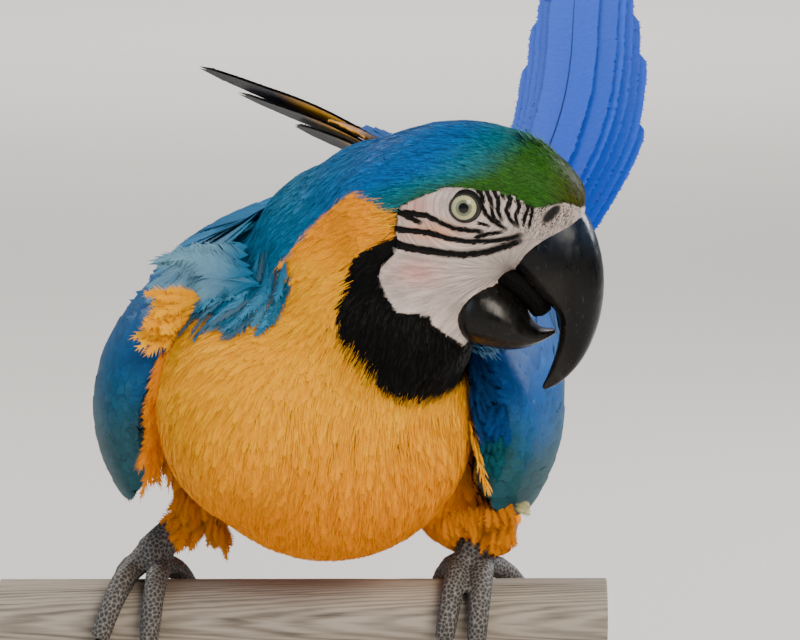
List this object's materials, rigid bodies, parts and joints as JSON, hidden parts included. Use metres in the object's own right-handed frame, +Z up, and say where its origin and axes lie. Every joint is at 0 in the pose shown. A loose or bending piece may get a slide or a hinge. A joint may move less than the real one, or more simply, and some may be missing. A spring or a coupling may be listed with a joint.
{
  "type": "perched blue-and-yellow macaw display model",
  "caption": "Life-size still model of a blue-and-yellow macaw crouching on a cut branch, head turned to its left, tail raised behind, on a flat base with rods.",
  "frame": {"origin": "on the underside of the stand's base, which rests on the floor, below the space between the bird's feet", "axes": "+Z up; -Y the way the bird's breast faces; +X the way its bill points, toward its own left"},
  "size_m": [0.282, 0.5926, 0.3822],
  "materials": {
    "blue_plumage": "matte",
    "yellow_plumage": "matte",
    "black_horn": "gloss",
    "pale_eye": "gloss",
    "grey_foot_scale": "matte",
    "dark_tongue": "satin",
    "weathered_wood": "matte",
    "oiled_oak": "satin",
    "brushed_steel_rod": "satin"
  },
  "bodies": {
    "root": {"claw_left_1": "black_horn", "claw_left_2": "black_horn", "claw_left_3": "black_horn", "claw_left_4": "black_horn", "claw_right_1": "black_horn", "claw_right_2": "black_horn", "claw_right_3": "black_horn", "claw_right_4": "black_horn", "eye_left": "pale_eye", "eye_right": "pale_eye", "foot_left": "grey_foot_scale", "foot_right": "grey_foot_scale", "head": "blue_plumage", "lower_mandible": "black_horn", "neck": "blue_plumage", "perch": "weathered_wood", "stand_base": "oiled_oak", "stand_rod_1": "brushed_steel_rod", "stand_rod_2": "brushed_steel_rod", "tail_feather_left_1": "blue_plumage", "tail_feather_left_2": "blue_plumage", "tail_feather_left_3": "blue_plumage", "tail_feather_left_4": "blue_plumage", "tail_feather_left_5": "blue_plumage", "tail_feather_left_6": "blue_plumage", "tail_feather_right_1": "blue_plumage", "tail_feather_right_2": "blue_plumage", "tail_feather_right_3": "blue_plumage", "tail_feather_right_4": "blue_plumage", "tail_feather_right_5": "blue_plumage", "tail_feather_right_6": "blue_plumage", "thigh_left": "yellow_plumage", "thigh_right": "yellow_plumage", "tongue": "dark_tongue", "trunk": "yellow_plumage", "upper_mandible": "black_horn", "wing_left": "blue_plumage", "wing_left_primary_1": "blue_plumage", "wing_left_primary_2": "blue_plumage", "wing_left_primary_3": "blue_plumage", "wing_right": "blue_plumage", "wing_right_primary_1": "blue_plumage", "wing_right_primary_2": "blue_plumage", "wing_right_primary_3": "blue_plumage"}
  },
  "joints": []
}
